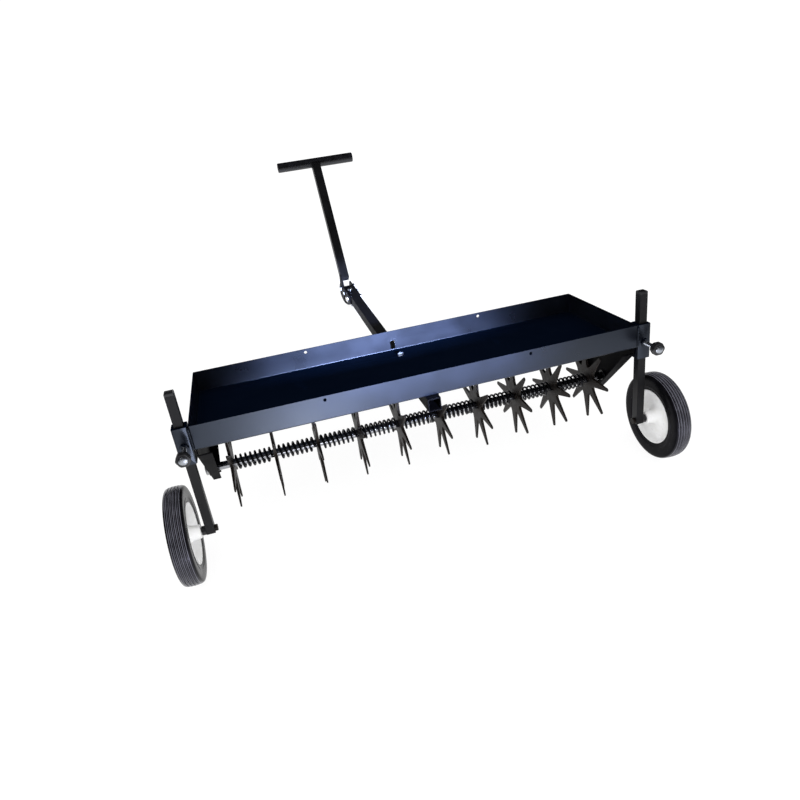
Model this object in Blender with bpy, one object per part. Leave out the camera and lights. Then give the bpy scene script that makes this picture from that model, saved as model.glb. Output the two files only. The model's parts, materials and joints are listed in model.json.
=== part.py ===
# Spike aerator: a steel weight tray on a row of loose toothed discs, with two transport
# wheels on sliding arms, a tongue with a hitch and a folding T-handle.
# Pieces are drawn level, in metres, with +Y towards the hitch, +X to the right and z = 0 at the
# tray's rim. A stance empty then pitches them onto the two wheels and the hitch's lower edge.
import math

import bmesh
import bpy
from mathutils import Matrix, Vector

GAP = 0.0003

STAR_PITCH = 0.1016
STAR_COUNT = 10
STAR_TIP_RADIUS = 0.104
STAR_VALLEY_RADIUS = 0.039
STAR_TEETH = 8
STAR_THICKNESS = 0.0068
STAR_TIP_THICKNESS = 0.0034
STAR_TURNS = (9.5, 8.6, 39.6, 24.0, 11.0, 9.8, 10.0, 43.5, 35.5, 40.5)
AXLE_Y = -0.017
AXLE_Z = -0.177
AXLE_RADIUS = 0.0095
AXLE_HALF = 0.5195

TRAY_HALF_X = STAR_PITCH * STAR_COUNT / 2
TRAY_HALF_Y = 0.16175
TRAY_DEPTH = 0.0551
SHEET = 0.002
FLOOR_TOP = -TRAY_DEPTH + SHEET
WALL_HOLES_X = (-0.2285, 0.2395)
BOLT_SEAT_RADIUS = 0.0105
BOLT_SEAT_TOP = FLOOR_TOP + 0.0006
FLOOR_NUT_TOP = FLOOR_TOP + 0.0066

HANGER_SHEET = 0.003
HANGER_BOTTOM = -0.210
HANGER_FLANGE = 0.030

ARM_X = 0.526
ARM_Y = -0.145
ARM_SIZE = 0.019
ARM_TOP = 0.068
ARM_BOTTOM = -0.2635
SLEEVE_SIZE = 0.032
SLEEVE_TOP = -0.001
SLEEVE_BOTTOM = -0.085
CLAMP_Z = -0.045
KNOB_Y = -0.210
KNOB_RADIUS = 0.0147
KNOB_HALF = 0.008
STUD_RADIUS = 0.005
STUD_HEAD_RADIUS = 0.0092

WHEEL_X = 0.580
WHEEL_Z = -0.256
WHEEL_RADIUS = 0.110
WHEEL_WIDTH = 0.0416
RIM_RADIUS = 0.0695
HUB_INBOARD = 0.034
HUB_OUTBOARD = 0.021

TONGUE_X = 0.002
TONGUE_SIZE = 0.030
TONGUE_WALL = 0.0025
TONGUE_REAR = -0.178
TONGUE_BEND = 0.165
TONGUE_FRONT = 0.800
TONGUE_RISE = math.radians(3.0)
TONGUE_Z = -TRAY_DEPTH - GAP - TONGUE_SIZE / 2
TONGUE_BOLT_X = 0.0045
TONGUE_BOLTS_Y = (-0.110, 0.110)
BOLT_RADIUS = 0.004
BOLT_HOLE = BOLT_RADIUS + GAP
CRUSH_SLEEVE_RADIUS = 0.007

PLATE_SHEET = 0.004
PLATE_REAR = -0.148
PLATE_BOLTS_Y = (0.710, 0.775)
PIVOT_Y = 0.831
PIVOT_Z = -0.035
DRAW_HOLE = (0.030, -0.020)
PIN_X = -0.002
PIN_Y = 0.742
PIN_RADIUS = 0.005
HANDLE_LEAN = math.radians(33.8)
HANDLE_SIZE = 0.030
HANDLE_LENGTH = 0.4934
BAR_HALF = 0.137
BAR_RADIUS = 0.0167

SPRING_RADIUS = 0.0155
SPRING_WIRE = 0.0025
SPRING_TURNS = 7.5
SPRING_POINTS = 8

materials = {}


def material(name, colour, roughness, metallic=0.0):
    """One Principled material, kept under its name."""
    if name not in materials:
        made = bpy.data.materials.new(name)
        made.use_nodes = True
        shader = made.node_tree.nodes["Principled BSDF"]
        shader.inputs["Base Color"].default_value = (*colour, 1.0)
        shader.inputs["Roughness"].default_value = roughness
        shader.inputs["Metallic"].default_value = metallic
        materials[name] = made
    return materials[name]


def black_paint():
    return material("black_paint", (0.020, 0.022, 0.032), 0.38)


def gloss_black():
    return material("gloss_black", (0.012, 0.012, 0.014), 0.22)


def dark_steel():
    return material("dark_steel", (0.030, 0.021, 0.018), 0.48, 0.6)


def spring_steel():
    return material("spring_steel", (0.045, 0.045, 0.050), 0.35, 0.8)


def bright_steel():
    return material("bright_steel", (0.55, 0.56, 0.58), 0.28, 1.0)


def zinc():
    return material("zinc", (0.45, 0.45, 0.46), 0.35, 1.0)


def tyre_rubber():
    return material("tyre_rubber", (0.018, 0.018, 0.022), 0.62)


def white_plastic():
    return material("white_plastic", (0.78, 0.78, 0.76), 0.42)


def black_plastic():
    return material("black_plastic", (0.016, 0.016, 0.018), 0.45)


def solid(name, bm, look, origin=(0, 0, 0), smooth_angle=None):
    """Turn a bmesh in machine coordinates into a named object with its own origin."""
    bmesh.ops.recalc_face_normals(bm, faces=bm.faces)
    if bm.calc_volume(signed=True) < 0:
        bmesh.ops.reverse_faces(bm, faces=bm.faces)
    bm.transform(Matrix.Translation(-Vector(origin)))
    mesh = bpy.data.meshes.new(name)
    bm.to_mesh(mesh)
    bm.free()
    piece = bpy.data.objects.new(name, mesh)
    piece.location = origin
    bpy.context.collection.objects.link(piece)
    if look:
        mesh.materials.append(look)
    if smooth_angle:
        mesh.shade_smooth()
        mesh.set_sharp_from_angle(angle=math.radians(smooth_angle))
    return piece


def helper(bm, origin=(0, 0, 0)):
    """A body that only cuts or joins another one."""
    piece = solid("shaper", bm, None, origin)
    piece.hide_render = True
    piece.display_type = "WIRE"
    return piece


def shape(piece, operation, other):
    step = piece.modifiers.new(operation.lower(), "BOOLEAN")
    step.operation = operation
    step.solver = "EXACT"
    step.object = other


def cut(piece, *others):
    for other in others:
        shape(piece, "DIFFERENCE", other)


def join(piece, *others):
    for other in others:
        shape(piece, "UNION", other)


def box(low, high):
    bm = bmesh.new()
    bmesh.ops.create_cube(bm, size=1.0)
    size = Vector(high) - Vector(low)
    middle = (Vector(high) + Vector(low)) / 2
    bm.transform(Matrix.Translation(middle) @ Matrix.Diagonal((*size, 1.0)))
    return bm


def along(axis):
    """The turn that lays a shape drawn along +Z along another axis, with its first side kept."""
    if axis == "X":
        return Matrix(((0, 0, 1, 0), (1, 0, 0, 0), (0, 1, 0, 0), (0, 0, 0, 1)))
    if axis == "Y":
        return Matrix(((0, 1, 0, 0), (0, 0, 1, 0), (1, 0, 0, 0), (0, 0, 0, 1)))
    return Matrix.Identity(4)


def rod(centre, axis, start, end, radius, sides=24):
    """A round or many-sided bar along an axis, from start to end past the centre."""
    bm = bmesh.new()
    bmesh.ops.create_cone(bm, cap_ends=True, segments=sides, radius1=radius, radius2=radius,
                          depth=end - start)
    bm.transform(Matrix.Translation((0, 0, (start + end) / 2)))
    bm.transform(Matrix.Translation(centre) @ along(axis))
    return bm


def slab(outline, axis, start, end):
    """A flat plate: an outline in the plane square to the axis, as thick as start to end."""
    bm = bmesh.new()
    ring = [bm.verts.new((a, b, start)) for a, b in outline]
    face = bm.faces.new(ring)
    raised = bmesh.ops.extrude_face_region(bm, geom=[face])["geom"]
    lifted = [item for item in raised if isinstance(item, bmesh.types.BMVert)]
    bmesh.ops.translate(bm, verts=lifted, vec=(0, 0, end - start))
    bm.transform(along(axis))
    return bm


def turned(profile, centre, axis="X", steps=32):
    """A turned piece: closed profile of (place along the axis, radius) spun right round."""
    bm = bmesh.new()
    ring = [bm.verts.new((radius, 0, place)) for place, radius in profile]
    edges = [bm.edges.new((ring[i - 1], ring[i])) for i in range(len(ring))]
    bmesh.ops.spin(bm, geom=ring + edges, cent=(0, 0, 0), axis=(0, 0, 1), angle=math.tau,
                   steps=steps, use_merge=True)
    bm.transform(Matrix.Translation(centre) @ along(axis))
    return bm


def lathe_solid(profile, centre, steps=20, axis="X"):
    """A turned piece with no bore: the profile's two ends lie on the axis."""
    bm = bmesh.new()
    ring = [bm.verts.new((radius, 0, place)) for place, radius in profile]
    edges = [bm.edges.new((a, b)) for a, b in zip(ring, ring[1:])]
    bmesh.ops.spin(bm, geom=ring + edges, cent=(0, 0, 0), axis=(0, 0, 1), angle=math.tau,
                   steps=steps, use_merge=True)
    bmesh.ops.remove_doubles(bm, verts=bm.verts, dist=1e-6)
    bm.transform(Matrix.Translation(centre) @ along(axis))
    return bm


def rounded(bm, radius, segments, chosen):
    """Round the edges for which chosen(edge) is true."""
    edges = [edge for edge in bm.edges if chosen(edge)]
    bmesh.ops.bevel(bm, geom=edges, offset=radius, segments=segments, profile=0.5,
                    affect="EDGES", material=-1)
    return bm


def square_tube(name, path, size, wall, look, origin, upright=Vector((1, 0, 0))):
    """A square tube, open at both ends, along a path whose bend keeps the tube's upright side."""
    bm = bmesh.new()
    rings = []
    for half in (size / 2, size / 2 - wall):
        stations = []
        for index, place in enumerate(path):
            before = path[max(index - 1, 0)]
            after = path[min(index + 1, len(path) - 1)]
            arriving = (place - before).normalized() if index else None
            leaving = (after - place).normalized() if index < len(path) - 1 else None
            ahead = ((arriving or leaving) + (leaving or arriving)).normalized()
            across = ahead.cross(upright).normalized()
            stretch = 1 / ahead.dot(leaving or arriving)
            corners = [(-1, -1), (1, -1), (1, 1), (-1, 1)]
            stations.append([bm.verts.new(place + upright * half * a + across * half * b * stretch)
                             for a, b in corners])
        rings.append(stations)
    outer, inner = rings
    for stations in rings:
        for first, second in zip(stations, stations[1:]):
            for i in range(4):
                bm.faces.new((first[i - 1], first[i], second[i], second[i - 1]))
    for end in (0, -1):
        for i in range(4):
            bm.faces.new((outer[end][i - 1], outer[end][i], inner[end][i], inner[end][i - 1]))
    return solid(name, bm, look, origin)


def bolt(name, centre, axis, head, nut, shank_radius, across_flats, origin=(0, 0, 0), look=None,
         tail=0.0):
    """A hex bolt with its nut: head and nut are (inner face, outer face) places on the axis.
    The thread's end stands past the nut by the tail."""
    corner = across_flats / math.sqrt(3)
    piece = solid(name, rod(centre, axis, head[0], nut[1] + tail, shank_radius, 16), look or zinc(),
                  origin, 40)
    low, high = sorted(head)
    join(piece, helper(rod(centre, axis, low, high, corner, 6), origin))
    low, high = sorted(nut)
    join(piece, helper(rod(centre, axis, low, high, corner, 6), origin))
    return piece


def tongue_point(y):
    """The middle of the tongue at a distance ahead of the tray's middle."""
    rise = max(0.0, y - TONGUE_BEND) * math.tan(TONGUE_RISE)
    return Vector((TONGUE_X, y, TONGUE_Z + rise))


def pin_place():
    """Where the tow pin stands on the tongue's middle line."""
    place = tongue_point(PIN_Y)
    place.x = PIN_X
    return place


def tray():
    bm = box((-TRAY_HALF_X, -TRAY_HALF_Y, -TRAY_DEPTH), (TRAY_HALF_X, TRAY_HALF_Y, 0))
    rounded(bm, 0.003, 2, lambda edge: min(v.co.z for v in edge.verts) < -TRAY_DEPTH / 2)
    piece = solid("tray", bm, black_paint())
    inside = box((-TRAY_HALF_X + SHEET, -TRAY_HALF_Y + SHEET, FLOOR_TOP),
                 (TRAY_HALF_X - SHEET, TRAY_HALF_Y - SHEET, 0.02))
    cut(piece, helper(inside))
    for x in WALL_HOLES_X:
        cut(piece, helper(rod((x, 0, -0.009), "Y", -0.2, 0.2, 0.0038, 16)))
    slot = box((-0.0085, 0.15, -0.049), (0.0045, 0.17, -0.027))
    rounded(slot, 0.002, 1, lambda edge: abs(edge.verts[0].co.y - edge.verts[1].co.y) > 0.01)
    cut(piece, helper(slot))
    for y in TONGUE_BOLTS_Y:
        at = (TONGUE_BOLT_X, y, 0)
        join(piece, helper(rod(at, "Z", FLOOR_TOP - SHEET / 2, BOLT_SEAT_TOP, BOLT_SEAT_RADIUS, 16)))
        cut(piece, helper(rod(at, "Z", -0.07, -0.04, BOLT_HOLE, 16)))


def hanger(side, name):
    """An end plate: a V-shaped sheet with flanges bent inwards along its sloping edges."""
    outer = TRAY_HALF_X
    top = -TRAY_DEPTH - GAP
    shoulder = -0.075
    half_top = 0.150
    half_bottom = half_top - (shoulder - HANGER_BOTTOM)
    half_bottom = max(half_bottom, 0.0135)
    outline = [(-half_top, top), (-half_top, shoulder), (-half_bottom, HANGER_BOTTOM),
               (half_bottom, HANGER_BOTTOM), (half_top, shoulder), (half_top, top)]
    piece = solid(name, slab(outline, "X", side * outer, side * (outer - HANGER_SHEET)),
                  black_paint())
    for front in (-1, 1):
        start = Vector((front * half_top, shoulder))
        end = Vector((front * half_bottom, HANGER_BOTTOM))
        inward = Vector((-front, 1)).normalized() * HANGER_SHEET
        inner_x = side * (outer - HANGER_FLANGE)
        band = [tuple(start), tuple(end), tuple(end + inward), tuple(start + inward)]
        bm = slab(band, "X", side * outer, inner_x)
        chamfered = [v for v in bm.verts if abs(v.co.x - inner_x) < 1e-6
                     and v.co.z < HANGER_BOTTOM + 0.01]
        for vert in chamfered:
            vert.co.x += side * 0.012
        join(piece, helper(bm))
    shelf = box((min(side * outer, side * (outer - HANGER_FLANGE)), -half_top, top - HANGER_SHEET),
                (max(side * outer, side * (outer - HANGER_FLANGE)), half_top, top))
    join(piece, helper(shelf))
    cut(piece, helper(rod((side * outer, AXLE_Y, AXLE_Z), "X", -0.01, 0.01, 0.0143)))
    bush = [(side * (outer + 0.0033), 0.0178), (side * (outer + GAP), 0.0178),
            (side * (outer + GAP), 0.0140), (side * (outer - 0.006), 0.0140),
            (side * (outer - 0.006), AXLE_RADIUS + GAP), (side * (outer + 0.0033), AXLE_RADIUS + GAP)]
    solid(name.replace("hanger", "axle_bush"), turned(bush, (0, AXLE_Y, AXLE_Z), steps=20),
          black_plastic(), smooth_angle=40)
    collar = [(side * (outer + 0.0036), 0.0145), (side * (outer + 0.0105), 0.0145),
              (side * (outer + 0.0105), AXLE_RADIUS + GAP), (side * (outer + 0.0036), AXLE_RADIUS + GAP)]
    solid(name.replace("hanger", "shaft_collar"), turned(collar, (0, AXLE_Y, AXLE_Z), steps=16),
          zinc(), smooth_angle=40)


def axle_shaft():
    bm = rod((0, AXLE_Y, AXLE_Z), "X", -AXLE_HALF, AXLE_HALF, AXLE_RADIUS)
    solid("axle_shaft", bm, bright_steel(), smooth_angle=40)


def toothed_plate(turn):
    """Eight blunt teeth on a flat hub; each tooth grows narrower and thinner to its tip."""
    base_radius = STAR_VALLEY_RADIUS + 0.004
    base_half = 0.0102
    tip_half = 0.0038
    shoulder = STAR_TIP_RADIUS - 0.0012
    thinning = (STAR_THICKNESS - STAR_TIP_THICKNESS) / 2 / (STAR_TIP_RADIUS - base_radius)
    tooth_outline = [(base_radius, -base_half), (shoulder, -tip_half), (STAR_TIP_RADIUS, -tip_half * 0.45),
                     (STAR_TIP_RADIUS, tip_half * 0.45), (shoulder, tip_half), (base_radius, base_half)]
    bm = bmesh.new()
    rims = {-1: [], 1: []}
    for tooth in range(STAR_TEETH):
        middle = turn + math.tau * tooth / STAR_TEETH
        valley = middle + math.pi / STAR_TEETH
        for face_side, rim in rims.items():
            ring = []
            for out, sideways in tooth_outline:
                x = face_side * (STAR_THICKNESS / 2 - thinning * (out - base_radius))
                y = out * math.cos(middle) - sideways * math.sin(middle)
                z = out * math.sin(middle) + sideways * math.cos(middle)
                ring.append(bm.verts.new((x, y, z)))
            bm.faces.new(ring)
            radius = STAR_VALLEY_RADIUS - 0.001
            ring.append(bm.verts.new((face_side * STAR_THICKNESS / 2, radius * math.cos(valley),
                                      radius * math.sin(valley))))
            rim += ring
    for rim in rims.values():
        bm.faces.new([vert for place, vert in enumerate(rim) if place % 7 in (0, 5, 6)])
    for place in range(len(rims[1])):
        bm.faces.new((rims[1][place - 1], rims[1][place], rims[-1][place], rims[-1][place - 1]))
    return bm


def star(index):
    x = (index - (STAR_COUNT - 1) / 2) * STAR_PITCH
    origin = (x, AXLE_Y, AXLE_Z)
    bm = toothed_plate(math.radians(STAR_TURNS[index]))
    bm.transform(Matrix.Translation(origin))
    piece = solid(f"star_{index + 1:02d}", bm, dark_steel(), origin)
    cut(piece, helper(rod(origin, "X", -0.01, 0.01, AXLE_RADIUS + GAP, 20), origin))


def spring_points(start, end):
    """A helix whose two ends run straight along the shaft for one wire diameter."""
    run = 2 * SPRING_WIRE
    count = round(SPRING_TURNS * SPRING_POINTS)
    points = [Vector((start, SPRING_RADIUS, 0))]
    for step in range(count + 1):
        angle = math.tau * step / SPRING_POINTS
        x = start + run + (end - start - 2 * run) * step / count
        points.append(Vector((x, SPRING_RADIUS * math.cos(angle), SPRING_RADIUS * math.sin(angle))))
    last = points[-1]
    points.append(Vector((end, last.y, last.z)))
    return points


def least_gap(points):
    """The least clear distance between one curl's wire and the next, on points along the wire."""
    fine = []
    for first, second in zip(points, points[1:]):
        fine += [first.lerp(second, part / 4) for part in range(4)]
    apart = [(a - b).length for i, a in enumerate(fine) for b in fine[i + 3 * SPRING_POINTS:]]
    return min(apart) - 2 * SPRING_WIRE


def spring(index):
    left = (index - (STAR_COUNT - 1) / 2) * STAR_PITCH + STAR_THICKNESS / 2 + GAP
    right = left + STAR_PITCH - STAR_THICKNESS - 2 * GAP
    points = spring_points(left, right)
    line = bpy.data.curves.new(f"spring_{index + 1}", "CURVE")
    line.dimensions = "3D"
    line.bevel_depth = SPRING_WIRE
    line.bevel_resolution = 1
    line.use_fill_caps = True
    spline = line.splines.new("POLY")
    spline.points.add(len(points) - 1)
    for place, point in zip(spline.points, points):
        place.co = (*point, 1.0)
    line.materials.append(spring_steel())
    piece = bpy.data.objects.new(f"spring_{index + 1}", line)
    piece.location = (0, AXLE_Y, AXLE_Z)
    bpy.context.collection.objects.link(piece)
    if index == 0:
        print(f"spring: least gap between curls {least_gap(points) * 1000:.2f} mm")


def sleeve(side, name):
    half = SLEEVE_SIZE / 2
    bore = ARM_SIZE / 2 + 0.001
    bm = box((side * ARM_X - half, ARM_Y - half, SLEEVE_BOTTOM),
             (side * ARM_X + half, ARM_Y + half, SLEEVE_TOP))
    rounded(bm, 0.003, 2, lambda edge: abs(edge.verts[0].co.z - edge.verts[1].co.z) > 0.01)
    piece = solid(name, bm, black_paint())
    cut(piece, helper(box((side * ARM_X - bore, ARM_Y - bore, SLEEVE_BOTTOM - 0.01),
                          (side * ARM_X + bore, ARM_Y + bore, SLEEVE_TOP + 0.01))))
    boss_start = ARM_Y - half - 0.005
    join(piece, helper(rod((side * ARM_X, 0, CLAMP_Z), "Y", boss_start, ARM_Y - half + 0.002,
                           0.010, 6)))
    cut(piece, helper(rod((side * ARM_X, 0, CLAMP_Z), "Y", boss_start - 0.01, ARM_Y - bore + 0.003,
                          STUD_RADIUS + GAP)))


def arm(side, name):
    origin = (side * ARM_X, ARM_Y, WHEEL_Z)
    path = [Vector((side * ARM_X, ARM_Y, ARM_BOTTOM)), Vector((side * ARM_X, ARM_Y, ARM_TOP))]
    piece = square_tube(name, path, ARM_SIZE, 0.002, black_paint(), origin)
    cut(piece, helper(rod(origin, "X", -0.02, 0.02, 0.0051), origin))
    half = ARM_SIZE / 2
    plug = half - 0.002 - GAP
    cap = box((side * ARM_X - half, ARM_Y - half, ARM_TOP + GAP),
              (side * ARM_X + half, ARM_Y + half, ARM_TOP + 0.008))
    rounded(cap, 0.0025, 2, lambda edge: min(v.co.z for v in edge.verts) > ARM_TOP + 0.004)
    top = solid(name.replace("wheel_arm", "arm_cap"), cap, black_plastic(), origin)
    join(top, helper(box((side * ARM_X - plug, ARM_Y - plug, ARM_TOP - 0.012),
                         (side * ARM_X + plug, ARM_Y + plug, ARM_TOP + 0.002)), origin))
    inboard = -side * (half + GAP)
    outboard = side * (WHEEL_X - ARM_X + HUB_OUTBOARD + 0.0035)
    bolt(name.replace("wheel_arm", "wheel_bolt"), origin, "X",
         (inboard, inboard - side * 0.006), (outboard, outboard + side * 0.008), 0.00475, 0.0143,
         origin, dark_steel())
    hub_face = side * (WHEEL_X - ARM_X - HUB_INBOARD - 0.0015 - GAP)
    spacer = [(side * (half + GAP), 0.0105), (hub_face, 0.0105), (hub_face, 0.00505),
              (side * (half + GAP), 0.00505)]
    solid(name.replace("wheel_arm", "wheel_spacer"), turned(spacer, origin, steps=16),
          black_plastic(), origin, 40)


def wheel(side, name):
    origin = (side * WHEEL_X, ARM_Y, WHEEL_Z)
    half = WHEEL_WIDTH / 2
    shoulder = WHEEL_RADIUS - 0.002
    tyre = [(-half + 0.003, RIM_RADIUS + GAP), (half - 0.003, RIM_RADIUS + GAP)]
    crown = 0.009
    for step in range(3):
        angle = math.pi / 2 * step / 2
        tyre.append((half - crown + crown * math.cos(angle), shoulder - crown + crown * math.sin(angle)))
    tyre.append((0.005, WHEEL_RADIUS))
    tyre.append((-0.005, WHEEL_RADIUS))
    for step in range(3):
        angle = math.pi / 2 * (1 + step / 2)
        tyre.append((-half + crown + crown * math.cos(angle), shoulder - crown + crown * math.sin(angle)))
    solid(name.replace("wheel", "tyre"), turned(tyre, origin), tyre_rubber(), origin, 40)
    lip = half - 0.002
    inboard = -side * HUB_INBOARD
    outboard = side * HUB_OUTBOARD
    web = side * 0.004
    lip *= side
    rim = [(-lip, RIM_RADIUS), (-lip, RIM_RADIUS - 0.003), (-web, RIM_RADIUS - 0.006),
           (-web, 0.018), (inboard, 0.014), (inboard, 0.0083), (outboard, 0.0083), (outboard, 0.014),
           (web, 0.016), (web, RIM_RADIUS - 0.006), (lip, RIM_RADIUS - 0.003), (lip, RIM_RADIUS)]
    solid(name.replace("wheel", "rim"), turned(rim, origin), white_plastic(), origin, 40)
    inboard -= side * 0.0015
    outboard += side * 0.0015
    bush = [(inboard, 0.0080), (outboard, 0.0080), (outboard, 0.00505), (inboard, 0.00505)]
    solid(name.replace("wheel", "wheel_bush"), turned(bush, origin, steps=16), zinc(), origin, 40)


def clamp(side, name):
    """A lobed knob pressed on a stud, whose domed head shows on the knob's face."""
    origin = (side * ARM_X, KNOB_Y, CLAMP_Z)
    lobes = 6
    outline = []
    for step in range(4 * lobes):
        angle = math.tau * step / (4 * lobes)
        radius = KNOB_RADIUS + 0.0005 * math.cos(lobes * angle)
        outline.append((radius * math.cos(angle), radius * math.sin(angle)))
    bm = slab(outline, "Y", -KNOB_HALF, KNOB_HALF)
    rounded(bm, 0.0015, 1, lambda edge: abs(edge.verts[0].co.y - edge.verts[1].co.y) < 1e-6)
    bm.transform(Matrix.Translation(origin))
    knob = solid(name, bm, black_plastic(), origin, 40)
    cut(knob, helper(rod(origin, "Y", -0.02, 0.02, STUD_RADIUS + GAP, 16), origin))
    tip = ARM_Y - ARM_SIZE / 2 - GAP - KNOB_Y
    face = -KNOB_HALF - GAP
    stud = [(tip, 0), (tip, STUD_RADIUS), (face, STUD_RADIUS), (face, STUD_HEAD_RADIUS),
            (face - 0.0014, STUD_HEAD_RADIUS * 0.8), (face - 0.0024, 0)]
    solid(name.replace("knob", "stud"), lathe_solid(stud, origin, 16, "Y"), bright_steel(), origin, 40)


def tongue():
    path = [tongue_point(TONGUE_REAR), tongue_point(TONGUE_BEND), tongue_point(TONGUE_FRONT)]
    piece = square_tube("tongue", path, TONGUE_SIZE, TONGUE_WALL, black_paint(), (0, 0, 0))
    inner = (TONGUE_SIZE - TONGUE_WALL) / 2
    for y in TONGUE_BOLTS_Y:
        at = (TONGUE_BOLT_X, y, 0)
        join(piece, helper(rod(at, "Z", TONGUE_Z - inner, TONGUE_Z + inner, CRUSH_SLEEVE_RADIUS, 12)))
        cut(piece, helper(rod(at, "Z", -0.1, -0.04, BOLT_HOLE, 16)))
    for y in PLATE_BOLTS_Y:
        cut(piece, helper(rod(tongue_point(y), "X", -0.03, 0.03, BOLT_HOLE, 16)))
    cut(piece, helper(rod(pin_place(), "Z", -0.03, 0.03, PIN_RADIUS + GAP, 16)))
    below = TONGUE_Z - TONGUE_SIZE / 2 - GAP
    for name, y in zip(("tongue_bolt_rear", "tongue_bolt_front"), TONGUE_BOLTS_Y):
        bolt(name, (TONGUE_BOLT_X, y, 0), "Z", (below - 0.0065, below),
             (BOLT_SEAT_TOP + GAP, FLOOR_NUT_TOP), BOLT_RADIUS, 0.014)


def plate_outline(ear):
    """A hitch plate's side view: (ahead of the pivot, above the pivot)."""
    low_front = math.radians(-35)
    points = [(PLATE_REAR, -0.0225), (-0.0900, -0.0380), (-0.0250, -0.0475), (0.0150, -0.0455)]
    for step in range(4):
        angle = low_front + math.radians(35) * step / 3
        points.append((DRAW_HOLE[0] + 0.023 * math.cos(angle), DRAW_HOLE[1] + 0.023 * math.sin(angle)))
    points += [(0.0350, 0.0080), (0.0200, 0.0170)]
    if ear:
        points += [(0.0120, 0.0330), (0.0020, 0.0500), (-0.0180, 0.0500), (-0.0250, 0.0380)]
    points += [(-0.0300, 0.0130), (PLATE_REAR, 0.0065)]
    return points


def hitch_plate(side, name):
    inner = TONGUE_X + side * (TONGUE_SIZE / 2 + GAP)
    outer = inner + side * PLATE_SHEET
    pivot = Vector((0, PIVOT_Y, PIVOT_Z))
    outline = [(PIVOT_Y + ahead, PIVOT_Z + above) for ahead, above in plate_outline(side < 0)]
    piece = solid(name, slab(outline, "X", inner, outer), black_paint(), pivot)
    window = [(-0.100, -0.0250), (-0.060, -0.0380), (-0.028, -0.0380), (-0.022, -0.0300),
              (-0.034, -0.0180), (-0.088, -0.0180)]
    hole = [(PIVOT_Y + ahead, PIVOT_Z + above) for ahead, above in window]
    cut(piece, helper(slab(hole, "X", inner - side * 0.01, outer + side * 0.01), pivot))
    for y in PLATE_BOLTS_Y:
        cut(piece, helper(rod(tongue_point(y), "X", -0.03, 0.03, BOLT_HOLE, 16), pivot))
    cut(piece, helper(rod((0, PIVOT_Y, PIVOT_Z), "X", -0.03, 0.03, 0.0063, 16), pivot))
    draw_hole = (0, PIVOT_Y + DRAW_HOLE[0], PIVOT_Z + DRAW_HOLE[1])
    cut(piece, helper(rod(draw_hole, "X", -0.03, 0.03, 0.0068, 16), pivot))


def hitch_fasteners():
    outer = TONGUE_SIZE / 2 + GAP + PLATE_SHEET + GAP
    for name, y in zip(("hitch_bolt_rear", "hitch_bolt_front"), PLATE_BOLTS_Y):
        bolt(name, tongue_point(y), "X", (-outer, -outer - 0.005), (outer, outer + 0.0065), BOLT_RADIUS,
             0.013, tail=0.006)
    pivot = (TONGUE_X, PIVOT_Y, PIVOT_Z)
    bolt("handle_bolt", pivot, "X", (-outer, -outer - 0.006), (outer, outer + 0.008), 0.006, 0.018,
         pivot)
    pin_at = pin_place()
    seat = TONGUE_SIZE / 2 + 0.0008
    pin = solid("tow_pin", rod(pin_at, "Z", -0.040, seat + 0.003, PIN_RADIUS, 20), bright_steel(),
                pin_at, 40)
    join(pin, helper(rod(pin_at, "Z", seat, seat + 0.006, 0.0078, 20), pin_at))


def handle():
    """A square upright with a flat lug below, saddle-cut on top to hold a round cross-bar."""
    pivot = Vector((TONGUE_X, PIVOT_Y, PIVOT_Z))
    up = Vector((0, math.sin(HANDLE_LEAN), math.cos(HANDLE_LEAN)))
    foot = 0.032
    centre = pivot + up * HANDLE_LENGTH
    tube = square_tube("handle_upright", [pivot + up * foot, centre], HANDLE_SIZE, 0.002,
                       black_paint(), pivot)
    cut(tube, helper(rod(centre, "X", -0.03, 0.03, BAR_RADIUS + GAP, 32), pivot))
    half = HANDLE_SIZE / 2
    outline = [(half, foot + 0.045), (-half, foot + 0.045), (-half, 0)]
    for step in range(1, 8):
        angle = math.pi + math.pi * step / 8
        outline.append((half * math.cos(angle), half * math.sin(angle)))
    outline.append((half, 0))
    lug = slab(outline, "X", -half, -half + 0.005)
    turn = Matrix.Rotation(-HANDLE_LEAN, 4, "X")
    lug.transform(Matrix.Translation(pivot) @ turn)
    join(tube, helper(lug, pivot))
    cut(tube, helper(rod(pivot, "X", -0.03, 0, 0.0063, 16), pivot))
    ring = [(-BAR_HALF, BAR_RADIUS), (BAR_HALF, BAR_RADIUS), (BAR_HALF, BAR_RADIUS - 0.002),
            (-BAR_HALF, BAR_RADIUS - 0.002)]
    solid("handle_bar", turned(ring, centre, steps=24), gloss_black(), pivot, 40)
    for side, name in ((-1, "bar_plug_left"), (1, "bar_plug_right")):
        end = BAR_HALF
        inner = BAR_RADIUS - 0.002 - GAP
        plug = [(side * (end - 0.012), 0.0), (side * (end - 0.012), inner), (side * (end + GAP), inner),
                (side * (end + GAP), BAR_RADIUS - 0.0006), (side * (end + 0.0016), BAR_RADIUS - 0.0012),
                (side * (end + 0.0026), BAR_RADIUS * 0.55), (side * (end + 0.0028), 0.0)]
        solid(name, lathe_solid(plug, centre), black_plastic(), pivot, 40)


def nose_down():
    """The pitch at which the tyres and the hitch plates' lower edge touch one floor."""
    foot = [(PIVOT_Y + ahead, PIVOT_Z + above) for ahead, above in plate_outline(False)]
    low, high = 0.0, math.radians(40)
    for _ in range(50):
        pitch = (low + high) / 2
        hitch = min(-y * math.sin(pitch) + z * math.cos(pitch) for y, z in foot)
        tyre = -ARM_Y * math.sin(pitch) + WHEEL_Z * math.cos(pitch) - WHEEL_RADIUS
        if hitch > tyre:
            low = pitch
        else:
            high = pitch
    return pitch


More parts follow.
